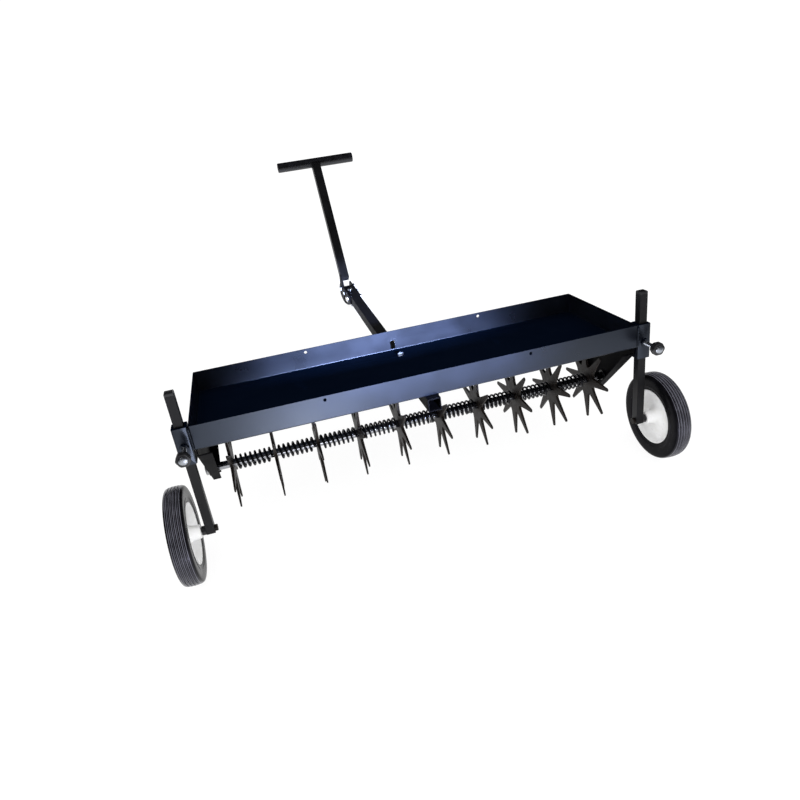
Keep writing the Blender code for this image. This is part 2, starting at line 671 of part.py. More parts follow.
def set_down(pieces):
    """Pitch the machine onto the floor and centre its box on the origin."""
    stance = bpy.data.objects.new("stance", None)
    bpy.context.collection.objects.link(stance)
    turn = Matrix.Rotation(-nose_down(), 4, "X")
    low = Vector((math.inf,) * 3)
    high = -low
    for piece in pieces:
        piece.parent = stance
        if piece.type != "MESH" or piece.hide_render:
            continue
        for vert in piece.data.vertices:
            place = turn @ (piece.location + vert.co)
            low = Vector(map(min, low, place))
            high = Vector(map(max, high, place))
    move = Vector((-(low.x + high.x) / 2, -(low.y + high.y) / 2, -low.z))
    stance.matrix_world = Matrix.Translation(move) @ turn
    print(f"stance: pitch {math.degrees(nose_down()):.4f} deg, move {move[0]:.6f} {move[1]:.6f} {move[2]:.6f}")
    print(f"box: {high.x - low.x:.4f} {high.y - low.y:.4f} {high.z - low.z:.4f}")
    for name in ("star_01", "wheel_arm_left", "tyre_left", "clamp_knob_left", "handle_upright", "tow_pin"):
        place = stance.matrix_world @ bpy.data.objects[name].location
        print(f"{name} origin {place.x:.5f} {place.y:.5f} {place.z:.5f}")


def build():
    for old in list(bpy.data.objects):
        bpy.data.objects.remove(old)
    tray()
    for side, word in ((-1, "left"), (1, "right")):
        hanger(side, f"hanger_{word}")
        sleeve(side, f"arm_sleeve_{word}")
        arm(side, f"wheel_arm_{word}")
        wheel(side, f"wheel_{word}")
        clamp(side, f"clamp_knob_{word}")
        hitch_plate(side, f"hitch_plate_{word}")
    axle_shaft()
    for index in range(STAR_COUNT):
        star(index)
    for index in range(STAR_COUNT - 1):
        spring(index)
    tongue()
    hitch_fasteners()
    handle()
    set_down(list(bpy.data.objects))


build()
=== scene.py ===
# %% [markdown]
# # A spike aerator, dressed for the camera
# A spike aerator is rolled over a lawn to prick holes in the turf. A steel tray carries a weight,
# ten toothed discs turn loosely on one shaft below it, and two wheels on sliding arms lift the
# discs clear for the road. The packed model is the frame; this lesson dresses it.

# %% Load the frame
import json
import math

import bmesh
import bpy
from mathutils import Matrix, Vector


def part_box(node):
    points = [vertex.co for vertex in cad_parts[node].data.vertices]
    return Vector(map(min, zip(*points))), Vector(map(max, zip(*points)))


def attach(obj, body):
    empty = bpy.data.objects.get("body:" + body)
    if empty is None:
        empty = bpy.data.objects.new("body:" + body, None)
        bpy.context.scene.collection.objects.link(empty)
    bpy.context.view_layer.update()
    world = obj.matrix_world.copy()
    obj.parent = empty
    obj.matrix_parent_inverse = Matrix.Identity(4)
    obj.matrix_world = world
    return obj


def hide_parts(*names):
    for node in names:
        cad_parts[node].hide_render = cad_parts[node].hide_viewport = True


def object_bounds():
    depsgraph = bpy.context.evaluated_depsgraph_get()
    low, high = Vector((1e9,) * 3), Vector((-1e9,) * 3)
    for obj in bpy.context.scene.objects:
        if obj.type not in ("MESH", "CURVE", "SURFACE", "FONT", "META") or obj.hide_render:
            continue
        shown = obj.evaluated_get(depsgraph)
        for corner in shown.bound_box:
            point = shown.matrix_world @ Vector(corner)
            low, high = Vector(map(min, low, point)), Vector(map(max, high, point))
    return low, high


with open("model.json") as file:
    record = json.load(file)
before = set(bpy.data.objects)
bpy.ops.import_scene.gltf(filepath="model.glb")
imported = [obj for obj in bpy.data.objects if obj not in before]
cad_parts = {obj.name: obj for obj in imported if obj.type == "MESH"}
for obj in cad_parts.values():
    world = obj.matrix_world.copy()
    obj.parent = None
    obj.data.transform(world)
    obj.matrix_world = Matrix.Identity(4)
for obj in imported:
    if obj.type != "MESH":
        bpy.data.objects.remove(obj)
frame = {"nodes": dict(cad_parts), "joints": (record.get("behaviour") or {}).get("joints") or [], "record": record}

cad_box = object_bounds()

# %% [markdown]
# ## The machine's own directions
# The machine stands nose down, on its tyres and its hitch. Every piece is easier to draw level,
# so one matrix, the stance, turns level drawings into place. It could be typed in by hand, but
# the joints already hold it: the sliding arms run along the machine's up, and the discs' joints
# lie on the shaft, 17 mm behind the middle of the tray's rim and 177 mm below it. Every other
# joint's place, laid level again, is then a centre to draw from.

# %% The stance
SHAFT_Y = -0.017
SHAFT_Z = -0.177

joints = {joint["name"]: joint for joint in frame["joints"]}
up = Vector(joints["arm_left_height"]["axis"]).normalized()
across = Vector((1, 0, 0))
ahead = up.cross(across)
outer_discs = [Vector(joints[f"star_{number}_spin"]["pos_m"]) for number in ("01", "10")]
rim_centre = (outer_discs[0] + outer_discs[1]) / 2 - ahead * SHAFT_Y - up * SHAFT_Z
stance = Matrix((
    (across.x, ahead.x, up.x, rim_centre.x),
    (across.y, ahead.y, up.y, rim_centre.y),
    (across.z, ahead.z, up.z, rim_centre.z),
    (0, 0, 0, 1)))
print(f"the machine is pitched {math.degrees(math.asin(up.y)):.2f} degrees nose down")

# %% Places and sizes to draw from
def level_place(joint_name):
    """Where a joint lies in the level drawings."""
    return stance.inverted() @ Vector(joints[joint_name]["pos_m"])


def radius_of(node):
    """The radius of a wheel-like CAD node, whose axle runs across the machine."""
    low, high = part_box(node)
    return (high.z - low.z) / 2


print("left wheel's centre, level:", [round(v, 3) for v in level_place("wheel_left_spin")])

# %% [markdown]
# ## The camera
# The photograph was taken from behind the machine's left half, about half a metre above the
# tray's rim. The camera's place and direction were found by fitting a pinhole camera to the tray,
# discs, wheels and handle, in the machine's level frame, so the same stance carries the camera
# into the scene.

# %% Place the camera
CAMERA_AT = Vector((-0.3218, -1.3808, 0.5249))
CAMERA_RIGHT = Vector((0.9577, -0.2580, -0.1278)).normalized()
CAMERA_AHEAD = Vector((0.1839, 0.8896, -0.4180)).normalized()
FOCAL_LENGTH_MM = 28.53
SENSOR_WIDTH_MM = 36
NEAREST_SEEN = 0.05

camera_up = CAMERA_RIGHT.cross(CAMERA_AHEAD)
level_view = Matrix((CAMERA_RIGHT, camera_up, -CAMERA_AHEAD)).transposed().to_4x4()
level_view.translation = CAMERA_AT
camera = bpy.data.objects.new("camera", bpy.data.cameras.new("camera"))
camera.data.lens = FOCAL_LENGTH_MM
camera.data.sensor_width = SENSOR_WIDTH_MM
camera.data.clip_start = NEAREST_SEEN
camera.matrix_world = stance @ level_view
bpy.context.collection.objects.link(camera)
bpy.context.scene.camera = camera
bpy.context.scene.view_settings.view_transform = "Standard"
print("camera height:", round(camera.matrix_world.translation.z, 3), "m")

# %% [markdown]
# ## Tools for materials
# A hex colour is how a paint looks on a screen, but a shader adds up light, so one function turns
# each hex value linear. Another adds a shader node with its settings and links. An input may be
# given another node, which stands for its first result. Sizes of grain are in real millimetres
# and are turned to a noise scale in cycles per metre.

# %% Colour and node helpers
def linear(hex_colour):
    """An sRGB hex colour as linear red, green, blue and alpha."""
    parts = [int(hex_colour[i:i + 2], 16) / 255 for i in (1, 3, 5)]
    return (*[p / 12.92 if p <= 0.04045 else ((p + 0.055) / 1.055) ** 2.4 for p in parts], 1.0)


def feed(tree, node, inputs):
    """Give a node's inputs their values, hex colours, sockets or other nodes."""
    for name, value in inputs.items():
        target = node.inputs[name] if isinstance(name, int) else next(
            socket for socket in node.inputs if socket.name == name and socket.enabled)
        if isinstance(value, bpy.types.Node):
            value = next(socket for socket in value.outputs if socket.enabled)
        if isinstance(value, bpy.types.NodeSocket):
            tree.links.new(value, target)
        else:
            target.default_value = linear(value) if isinstance(value, str) else value


def add(tree, kind, inputs=None, **settings):
    """One shader node, with its settings, values and links."""
    node = tree.nodes.new("ShaderNode" + kind)
    for name, value in settings.items():
        setattr(node, name, value)
    feed(tree, node, inputs or {})
    return node


def per_metre(millimetres):
    """The noise scale whose grains are about this many millimetres wide."""
    return 1000 / millimetres


print("linear mid grey:", [round(v, 3) for v in linear("#808080")[:3]])

# %% [markdown]
# ## What all finishes share
# No real surface is one flat colour. Each finish here drifts slowly between two shades and two
# degrees of gloss, and carries a fine relief, such as orange peel, scale or mould grain. It could
# be painted on an unwrapped mesh, but noise of a real size runs over every piece without a seam.
# Noise stays near its mean, so the span from 0.3 to 0.7 is stretched over the whole drift. Dust,
# wear or wax then cover a part of it, where another pattern peaks.

# %% A surface, a cover over it, and flecks
NOISE_SPAN = (0.3, 0.7)
WHOLE_SPAN = (0.0, 1.0)
FLECK_PEAK = 0.80


def surface(name, constants, shades, drift_mm, roughness, grain_mm, depth_mm, relief,
            span=NOISE_SPAN, detail=4, crumble=0.5, grain_detail=2):
    """A material whose shade and roughness drift, with the relief of a finer grain."""
    made = bpy.data.materials.new(name)
    made.use_nodes = True
    tree = made.node_tree
    where = add(tree, "TexCoord").outputs["Object"]
    drift = add(tree, "TexNoise", {"Vector": where, "Scale": per_metre(drift_mm),
                                   "Detail": detail, "Roughness": crumble})
    grain = add(tree, "TexNoise", {"Vector": where, "Scale": per_metre(grain_mm),
                                   "Detail": grain_detail})
    shade = add(tree, "MapRange", {"Value": drift, "From Min": span[0], "From Max": span[1]})
    dullness = add(tree, "MapRange", {
        "Value": drift, "From Min": NOISE_SPAN[0], "From Max": NOISE_SPAN[1],
        "To Min": roughness[0], "To Max": roughness[1]})
    feed(tree, tree.nodes["Principled BSDF"], {
        **constants,
        "Base Color": add(tree, "Mix", {"Factor": shade, "A": shades[0], "B": shades[1]},
                          data_type="RGBA"),
        "Roughness": dullness,
        "Normal": add(tree, "Bump", {"Height": grain, "Distance": depth_mm / 1000,
                                     "Strength": relief})})
    return made


def cover(made, colour, pattern, low=0.0, high=1.0, share=1.0):
    """Lay a colour over a surface, from none of it to its share as a pattern climbs."""
    tree = made.node_tree
    shader = tree.nodes["Principled BSDF"]
    below = shader.inputs["Base Color"].links[0].from_socket
    amount = add(tree, "MapRange", {"Value": pattern, "From Min": low, "From Max": high,
                                    "To Max": share})
    feed(tree, shader, {"Base Color": add(
        tree, "Mix", {"Factor": amount, "A": below, "B": colour}, data_type="RGBA")})


def fleck(made, colour, size_mm, start, share, detail=6, crumble=0.7):
    """Scatter flecks, such as dust or wear, where a noise pattern of their size peaks."""
    tree = made.node_tree
    pattern = add(tree, "TexNoise", {
        "Vector": add(tree, "TexCoord").outputs["Object"], "Scale": per_metre(size_mm),
        "Detail": detail, "Roughness": crumble})
    cover(made, colour, pattern, start, FLECK_PEAK, share)


print("a 70 mm drift has a noise scale of", round(per_metre(70), 1))

# %% [markdown]
# ## Powder coat
# The tray is bent sheet, sprayed with a charged powder that melts in an oven. The film is satin black with a blue
# cast and a faint orange peel, a ripple about 1.5 mm wide. A flat black would look like cut paper, so roughness
# drifts over the sheet, and fine dust lightens it here and there. Faces that look up, such as the tray's floor,
# are painted nearly black, a painted shade; they are also made rougher and mirror nothing. How far a face looks up
# is the Z of its normal: the leaning walls stay below 0.35 and the tray's floor is above 0.60, so the painted
# shade and the rougher film start between the two.

# %% The tray's powder coat
WALL_UP = 0.35
FLOOR_UP = 0.60


def powder_coat():
    """The tray's film: satin on its walls; rougher, mirroring nothing and painted nearly black as shade on faces
    that look up.
    """
    made = surface("satin_powder_coat",
                   {"IOR": 1.5, "Specular IOR Level": 0.5, "Specular Tint": "#ccdaf2"},
                   shades=("#06080e", "#0c0f18"), drift_mm=70, roughness=(0.27, 0.31),
                   grain_mm=1.6, depth_mm=0.05, relief=0.30)
    fleck(made, "#2b2e38", size_mm=9, start=0.62, share=0.16)
    tree = made.node_tree
    shader = tree.nodes["Principled BSDF"]
    facing = add(tree, "TexCoord").outputs["Normal"]
    upward = add(tree, "SeparateXYZ", {"Vector": facing}).outputs["Z"]
    # Faces that look up are painted nearly black: a painted shade.
    cover(made, "#010612", upward, WALL_UP, FLOOR_UP, share=0.75)
    scuffed = add(tree, "MapRange", {"Value": upward, "From Min": WALL_UP, "From Max": FLOOR_UP,
                                     "To Max": 0.18})
    mirrors = add(tree, "MapRange", {"Value": upward, "From Min": WALL_UP, "From Max": FLOOR_UP,
                                     "To Min": 0.75, "To Max": 0.0})
    sprayed = shader.inputs["Roughness"].links[0].from_socket
    feed(tree, shader, {
        "Specular IOR Level": mirrors,
        "Roughness": add(tree, "Math", {0: sprayed, 1: scuffed}, operation="ADD")})
    return made


POWDER_COAT = powder_coat()
print("tray:", POWDER_COAT.name, "with", len(POWDER_COAT.node_tree.nodes), "nodes")

# %% [markdown]
# ## Sprayed blacks and enamel
# Tongue, hangers and hitch plates get a darker copy of the black that mirrors almost nothing, so they stay as dark
# as parts in shade: a painted shade. The arms and the handle have a thicker, smoother coat, between that and the
# tray's. The cross-bar is dipped in a hard gloss enamel, so it mirrors the lamps sharply. One function makes both
# sprayed blacks, as they differ only in shade, dust and smoothness.

# %% Shaded chassis black, arm black and gloss enamel
ROUGHNESS_DRIFT = 0.12


def sprayed_black(name, specular, shades, dust_share, smoothest):
    """A sprayed black without gloss, with fine dust on it."""
    made = surface(name, {"IOR": 1.45, "Specular IOR Level": specular}, shades, drift_mm=45,
                   roughness=(smoothest, smoothest + ROUGHNESS_DRIFT),
                   grain_mm=1.2, depth_mm=0.05, relief=0.4)
    fleck(made, "#383538", size_mm=6, start=0.60, share=dust_share)
    return made


# A darker copy of the black that mirrors almost nothing, for parts in shade: a painted shade.
SHADED_CHASSIS_BLACK = sprayed_black("shaded_chassis_black", specular=0.04, shades=("#060608", "#0d0d11"),
                              dust_share=0.18, smoothest=0.48)
ARM_BLACK = sprayed_black("sprayed_arm_black", specular=0.36, shades=("#09090c", "#101015"),
                          dust_share=0.22, smoothest=0.42)
GLOSS_ENAMEL = surface("gloss_enamel", {"IOR": 1.52}, shades=("#0b0b0d", "#15151a"),
                       span=(0.35, 0.65), drift_mm=25, detail=3, roughness=(0.16, 0.26),
                       grain_mm=2.2, depth_mm=0.04, relief=0.25)
print("blacks:", SHADED_CHASSIS_BLACK.name, ARM_BLACK.name, GLOSS_ENAMEL.name)

# %% [markdown]
# ## Bare and plated steel
# The discs are punched from plate and dipped in a brown-black varnish, which hides most of the
# metal, so they are hardly metallic; scale and tool marks show through it as paler flecks. The
# springs are oil-tempered wire, the shaft is bright drawn bar, studs and tow pin are chromed, and
# bolts and collars zinc plated. These are metal all over and differ in colour, in roughness and
# in the size of their marks.

# %% Steel finishes
SCALE_MM = 1.8


def disc_steel():
    """Brown-black varnish over punched plate, worn to paler flecks."""
    made = surface("varnished_plate_steel", {"Metallic": 0.10, "Specular IOR Level": 0.20},
                   shades=("#110e0c", "#2c2420"), span=(0.35, 0.70), drift_mm=14, detail=5,
                   crumble=0.65, roughness=(0.45, 0.62), grain_mm=SCALE_MM, grain_detail=3,
                   depth_mm=0.08, relief=0.4)
    fleck(made, "#584f49", SCALE_MM, start=0.62, share=0.45, detail=3, crumble=0.5)
    return made


DISC_STEEL = disc_steel()
TEMPERED_WIRE = surface("oil_tempered_wire", {"Metallic": 0.9}, shades=("#1a1a1d", "#2e2e33"),
                        span=(0.35, 0.65), drift_mm=6, detail=3, roughness=(0.34, 0.48),
                        grain_mm=0.8, depth_mm=0.02, relief=0.3)
CHROME = surface("bright_chrome", {"Metallic": 1.0}, shades=("#8f949c", "#b4b8bf"),
                 span=WHOLE_SPAN, drift_mm=4, roughness=(0.20, 0.34),
                 grain_mm=1.0, depth_mm=0.01, relief=0.2)
DRAWN_BAR = surface("drawn_bar_steel", {"Metallic": 1.0}, shades=("#8a8b90", "#b0b2b6"),
                    span=WHOLE_SPAN, drift_mm=9, roughness=(0.16, 0.30),
                    grain_mm=0.6, depth_mm=0.01, relief=0.25)
ZINC = surface("zinc_plate", {"Metallic": 1.0}, shades=("#9b9da3", "#c6c7c4"),
               span=WHOLE_SPAN, drift_mm=3, roughness=(0.28, 0.46),
               grain_mm=0.7, depth_mm=0.02, relief=0.3)
steels = (DISC_STEEL, TEMPERED_WIRE, CHROME, DRAWN_BAR, ZINC)
print("steels:", ", ".join(steel.name for steel in steels))

# %% [markdown]
# ## Rubber
# The tyres are moulded rubber: dark, a little blue, with the sheen that a new tyre keeps on its ribs. Their mould
# is blasted on the flanks, so where the surface faces along the axle it mirrors next to nothing. Pale rings on the
# ribs' lips are a painted highlight, standing in for the light that the ribs' rounded edges catch, and patches of
# the rubber's drift dim them in places. They could be painted by hand, but a triangle wave of the place across the
# tread finds the lips of all five ribs.

# %% Tyre rubber with its painted highlight rings
WHEEL_X = 0.580
TREAD_HALF = 0.0165
RIBS = 5
RIB_MARGIN = 0.05
LIP_AT = 0.22
LIP_HALF_WIDTH = 0.09
TREAD_FACING = 0.55
FLANK_FACING = 0.85
DRIFT_AND_SHEEN_MM = 22
DRIFT_AND_SHEEN_DETAIL = 5


def rib_lips(tree, place_across):
    """One on the lips of the tread's ribs, and nought beside them and off the tread."""
    from_edge = add(tree, "Math", {0: place_across, 1: WHEEL_X - TREAD_HALF}, operation="SUBTRACT")
    ribs = add(tree, "Math", {0: from_edge, 1: RIBS / (2 * TREAD_HALF)}, operation="MULTIPLY")
    on_tread = add(tree, "Math", {0: ribs, 1: RIBS / 2, 2: RIBS / 2 + RIB_MARGIN},
                   operation="COMPARE")
    wave = add(tree, "Math", {0: ribs, 1: 0.5}, operation="PINGPONG")
    lip = add(tree, "Math", {0: wave, 1: LIP_AT, 2: LIP_HALF_WIDTH}, operation="COMPARE")
    return add(tree, "Math", {0: lip, 1: on_tread}, operation="MULTIPLY")


def tyre_rubber():
    """Moulded rubber with dull flanks and painted highlight rings on the lips of its ribs."""
    made = surface("moulded_rubber",
                   {"IOR": 1.5, "Specular IOR Level": 0.35, "Specular Tint": "#e4e2fb"},
                   shades=("#08080a", "#101013"), span=(0.35, 0.70), drift_mm=DRIFT_AND_SHEEN_MM,
                   detail=DRIFT_AND_SHEEN_DETAIL, roughness=(0.18, 0.27), grain_mm=0.9, grain_detail=3,
                   depth_mm=0.05, relief=0.3)
    tree = made.node_tree
    spot = add(tree, "TexCoord").outputs
    place_across, facing_across = (
        add(tree, "Math", {0: add(tree, "SeparateXYZ", {"Vector": spot[kind]}).outputs["X"]},
            operation="ABSOLUTE") for kind in ("Object", "Normal"))
    sheen_patches = add(tree, "TexNoise", {"Vector": spot["Object"], "Scale": per_metre(DRIFT_AND_SHEEN_MM),
                                   "Detail": DRIFT_AND_SHEEN_DETAIL})
    sheen_share = add(tree, "MapRange", {"Value": sheen_patches, "From Min": NOISE_SPAN[0],
                                       "From Max": NOISE_SPAN[1], "To Min": 0.55})
    # Pale rings on the ribs' lips: a painted highlight, dimmed where the patches run low.
    cover(made, "#74747e", add(tree, "Math", {0: rib_lips(tree, place_across), 1: sheen_share},
                               operation="MULTIPLY"))
    feed(tree, tree.nodes["Principled BSDF"], {"Specular IOR Level": add(
        tree, "MapRange", {"Value": facing_across, "From Min": TREAD_FACING,
                           "From Max": FLANK_FACING, "To Min": 0.34, "To Max": 0.04})})
    return made


RUBBER = tyre_rubber()
print("tyres:", RUBBER.name, "with", 2 * RIBS, "painted highlight rings")

# %% [markdown]
# ## Enamel and nylon
# The rims are white enamel, so bright that the photograph burns them out. Caps, plugs, knobs,
# spacers and the shaft's bushes are moulded nylon, whose tool was spark-eroded, which leaves a
# fine even grain.

# %% White enamel and nylon
WHITE_ENAMEL = surface("white_enamel", {"IOR": 1.5}, shades=("#ffffff", "#f6f6f4"),
                       span=(0.40, 0.75), drift_mm=18, roughness=(0.25, 0.38),
                       grain_mm=1.5, depth_mm=0.03, relief=0.25)
NYLON = surface("moulded_nylon", {"IOR": 1.53}, shades=("#101013", "#1c1c21"),
                span=WHOLE_SPAN, drift_mm=12, detail=3, roughness=(0.36, 0.48),
                grain_mm=0.7, grain_detail=1, depth_mm=0.04, relief=0.5)
print("rims and caps:", WHITE_ENAMEL.name, NYLON.name)

# %% [markdown]
# ## Pieces and their bodies
# Every piece that shows rides on a body of the machine, has a material for its finish and, unless it is a weld
# bead, stands in for a CAD node, which is hidden. One function does all three, so none is forgotten.


def show(name, mesh, look, body, replaced=()):
    """Put a finished mesh on a body, with its material, as a piece of the object."""
    piece = bpy.data.objects.new(name, mesh)
    bpy.context.collection.objects.link(piece)
    mesh.materials.clear()
    mesh.materials.append(look)
    if replaced:
        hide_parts(*replaced)
    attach(piece, body)
    return piece


def body_with(node):
    """The body that carries a CAD node."""
    return next(body for body, members in frame["record"]["behaviour"]["bodies"].items()
                if node in members)


def shaded(name, bm, sharp_angle):
    """A drawing kept as a mesh, shaded smooth except over edges sharper than an angle."""
    mesh = bpy.data.meshes.new(name)
    bm.to_mesh(mesh)
    bm.free()
    mesh.shade_smooth()
    mesh.set_sharp_from_angle(angle=math.radians(sharp_angle))
    return mesh


print("the tray rides on", body_with("tray"), "and the tow pin on", body_with("tow_pin"))

# %% [markdown]
# ## Giving a CAD piece real edges
# A bent sheet or a cut tube never has a knife edge: paint rounds it, and that thin round catches
# the light. The CAD solids have sharp edges, and their meshes must not be changed. So a copy of
# each is merged, its flat parts are dissolved back into whole faces, and a Bevel modifier rounds
# what is left. The copy then stands in for its node.

# %% Round the edges of a copied solid
SHARP_DEGREES = 35
EDGE_STEPS = 2
CAD_MERGE = 2e-6
FLAT_DEGREES = 1.0


def whole_faces(node):
    """A CAD node's mesh, copied, merged, and with its flat triangles joined into faces."""
    bm = bmesh.new()
    bm.from_mesh(frame["nodes"][node].data)
    bmesh.ops.remove_doubles(bm, verts=bm.verts, dist=CAD_MERGE)
    bmesh.ops.dissolve_limit(bm, angle_limit=math.radians(FLAT_DEGREES), verts=bm.verts,
                             edges=bm.edges, delimit={"NORMAL"})
    return bm


def dress(node, look, edge_mm, shape=None):
    """Replace a CAD node by its own shape with rounded edges and a finish."""
    mesh = shaded("dressed_" + node, shape or whole_faces(node), SHARP_DEGREES)
    piece = show("dressed_" + node, mesh, look, body_with(node), [node])
    step = piece.modifiers.new("rounded_edges", "BEVEL")
    step.width = edge_mm / 1000
    step.segments = EDGE_STEPS
    step.limit_method = "ANGLE"
    step.angle_limit = math.radians(SHARP_DEGREES)
    step.use_clamp_overlap = True
    step.harden_normals = True


print("edges sharper than", SHARP_DEGREES, "degrees are rounded in", EDGE_STEPS, "steps")

# %% [markdown]
# ## Tray
# The tray is sheet, folded up round its floor on a press brake, which leaves an inside round at
# each fold. The CAD floor meets the walls in a sharp corner, so the edges there are found by
# their height, length and angle, and bevelled before the outer edges are rounded.

# %% Fold the tray
SHEET = 0.002
FOLD_RADIUS = 0.0026
FOLD_STEPS = 4
FOLD_RADIANS = 1.0
SHORTEST_FOLD = 0.2
SAME_HEIGHT = 0.0003


def folded_tray():
    """The tray with the round that a press brake leaves inside the folds along its floor."""
    bm = whole_faces("tray")
    bm.transform(stance.inverted())
    floor_top = min(vert.co.z for vert in bm.verts) + SHEET
    folds = [edge for edge in bm.edges
             if edge.calc_face_angle(0) > FOLD_RADIANS and edge.calc_length() > SHORTEST_FOLD
             and all(abs(vert.co.z - floor_top) < SAME_HEIGHT for vert in edge.verts)]
    bmesh.ops.bevel(bm, geom=folds, offset=FOLD_RADIUS, segments=FOLD_STEPS, profile=0.5,
                    affect="EDGES", material=-1)
    bm.transform(stance)
    print("folds along the tray's floor:", len(folds))
    return bm


dress("tray", POWDER_COAT, edge_mm=0.7, shape=folded_tray())

# %% [markdown]
# ## Frame, arms and fastenings
# Sleeves, arms, hangers, tongue and handle are welded or cut from plate and tube, and their
# shapes are already right in the CAD model. They need a finish and an edge: 0.7 mm where paint
# rounds a cut, 0.3 mm on moulded nylon, and what a chamfer leaves on bolts, pin and shaft.

# %% Dress the frame's pieces
FINISHES = (
    (POWDER_COAT, 0.7, ("arm_sleeve_left", "arm_sleeve_right")),
    (ARM_BLACK, 0.7, ("wheel_arm_left", "wheel_arm_right", "handle_upright")),
    (SHADED_CHASSIS_BLACK, 0.7, ("hanger_left", "hanger_right", "tongue", "hitch_plate_left",
                          "hitch_plate_right")),
    (NYLON, 0.3, ("arm_cap_left", "arm_cap_right", "axle_bush_left", "axle_bush_right",
                  "wheel_spacer_left", "wheel_spacer_right", "bar_plug_left", "bar_plug_right")),
    (ZINC, 0.4, ("tongue_bolt_rear", "tongue_bolt_front", "hitch_bolt_rear", "hitch_bolt_front",
                 "handle_bolt", "wheel_bush_left", "wheel_bush_right", "shaft_collar_left",
                 "shaft_collar_right")),
    (DISC_STEEL, 0.5, ("wheel_bolt_left", "wheel_bolt_right")),
    (GLOSS_ENAMEL, 0.4, ("handle_bar",)),
    (CHROME, 0.6, ("tow_pin",)),
    (DRAWN_BAR, 0.8, ("axle_shaft",)))

for look, edge_mm, nodes in FINISHES:
    for node in nodes:
        dress(node, look, edge_mm)

# %% [markdown]
# ## Discs
# Each disc is an eight-toothed plate, loose on the shaft, so all ten stand at their own angles.
# The plates are punched, which rolls their edges over slightly. A small bevel on the CAD shape
# gives that, as the shape itself is already right.

# %% Dress the ten discs
for number in range(1, 11):
    dress(f"star_{number:02d}", DISC_STEEL, edge_mm=0.5)

# %% [markdown]
# ## Round pieces
# Tyres, rims and knobs are turned shapes. A lathe in mesh code is a profile of a few points, spun
# full circle about an axle; the profile is the part that needs care. The CAD's few facets would
# show at the rim of the picture, so these use many more steps. Operators spin about Z, so one
# matrix for each axle then lays the shape across the machine or along it.

# %% A lathe
ROUND_STEPS = 96
DRAWN_MERGE = 1e-6
LAID_ALONG = {"X": Matrix(((0, 0, 1, 0), (1, 0, 0, 0), (0, 1, 0, 0), (0, 0, 0, 1))),
              "Y": Matrix(((0, 1, 0, 0), (0, 0, 1, 0), (1, 0, 0, 0), (0, 0, 0, 1)))}


def turned(profile, centre, steps=ROUND_STEPS, axis="X"):
    """Spin a closed profile of (place along the axis, radius) about a level axis."""
    bm = bmesh.new()
    ring = [bm.verts.new((radius, 0, along)) for along, radius in profile]
    edges = [bm.edges.new((ring[i - 1], ring[i])) for i in range(len(ring))]
    bmesh.ops.spin(bm, geom=ring + edges, cent=(0, 0, 0), axis=(0, 0, 1), angle=math.tau,
                   steps=steps, use_merge=True)
    bm.transform(Matrix.Translation(centre) @ LAID_ALONG[axis])
    return bm


def place(name, bm, look, body, replaced=(), smooth=SHARP_DEGREES):
    """Finish a level drawing: merge it, face it outwards, set it on the stance and show it."""
    bmesh.ops.remove_doubles(bm, verts=bm.verts, dist=DRAWN_MERGE)
    bmesh.ops.recalc_face_normals(bm, faces=bm.faces)
    if bm.calc_volume(signed=True) < 0:
        bmesh.ops.reverse_faces(bm, faces=bm.faces)
    bm.transform(stance)
    return show(name, shaded(name, bm, smooth), look, body, replaced)


print("each step of a turned piece is", 360 / ROUND_STEPS, "degrees")

# %% [markdown]
# ## Tyres
# A solid tyre with five ribs round it and four grooves between, 2.6 mm deep. Its sidewalls bulge
# a little and carry one raised ring, as the mould leaves. The flank's points are given by how far
# they rise above the rim's seat or fall below the tread, so they follow the CAD tyre's size.

# %% Turn the tyres
TYRE_STEPS = 112
TYRE_RADIUS = radius_of("tyre_left")
RIM_RADIUS = radius_of("rim_left")
SEAT_GAP = 0.0003
SEAT_RADIUS = RIM_RADIUS + SEAT_GAP
GROOVE_HALF = 0.0013
GROOVE_DEPTH = 0.0026
GROOVE_FLOOR_HALF = 0.0008
CROWN = 0.0018
CORNER_FALL = 0.0004
CORNER_IN = 0.0005
RIB_SWELL = 0.0001


def tread_radius(from_middle):
    """The tread's gentle crown: full height at the middle, 1.8 mm less at the shoulders."""
    return TYRE_RADIUS - CROWN * (from_middle / TREAD_HALF) ** 2


def tyre_profile():
    """The tyre's closed outline: one flank, the ribs and grooves, and the other flank."""
    above_seat = [(-0.0170, 0.0), (-0.0188, 0.0012), (-0.0192, 0.0060), (-0.0200, 0.0100),
                  (-0.0206, 0.0102), (-0.0207, 0.0115), (-0.0201, 0.0120)]
    below_tread = [(-0.0206, 0.0165), (-0.0206, 0.0095), (-0.0199, 0.0057), (-0.0185, 0.0033)]
    points = [(across_at, SEAT_RADIUS + rise) for across_at, rise in above_seat]
    points += [(across_at, TYRE_RADIUS - fall) for across_at, fall in below_tread]
    mirrored = [(-across_at, radius) for across_at, radius in reversed(points)]
    rib_width = 2 * TREAD_HALF / RIBS
    for rib in range(RIBS):
        start = -TREAD_HALF + rib * rib_width
        end = start + rib_width
        left = start if rib == 0 else start + GROOVE_HALF
        right = end if rib == RIBS - 1 else end - GROOVE_HALF
        middle = (left + right) / 2
        points += [(left, tread_radius(left) - CORNER_FALL),
                   (left + CORNER_IN, tread_radius(left)),
                   (middle, tread_radius(middle) + RIB_SWELL),
                   (right - CORNER_IN, tread_radius(right)),
                   (right, tread_radius(right) - CORNER_FALL)]
        if rib < RIBS - 1:
            floor = tread_radius(end) - GROOVE_DEPTH
            points += [(end - GROOVE_FLOOR_HALF, floor), (end + GROOVE_FLOOR_HALF, floor)]
    return points + mirrored


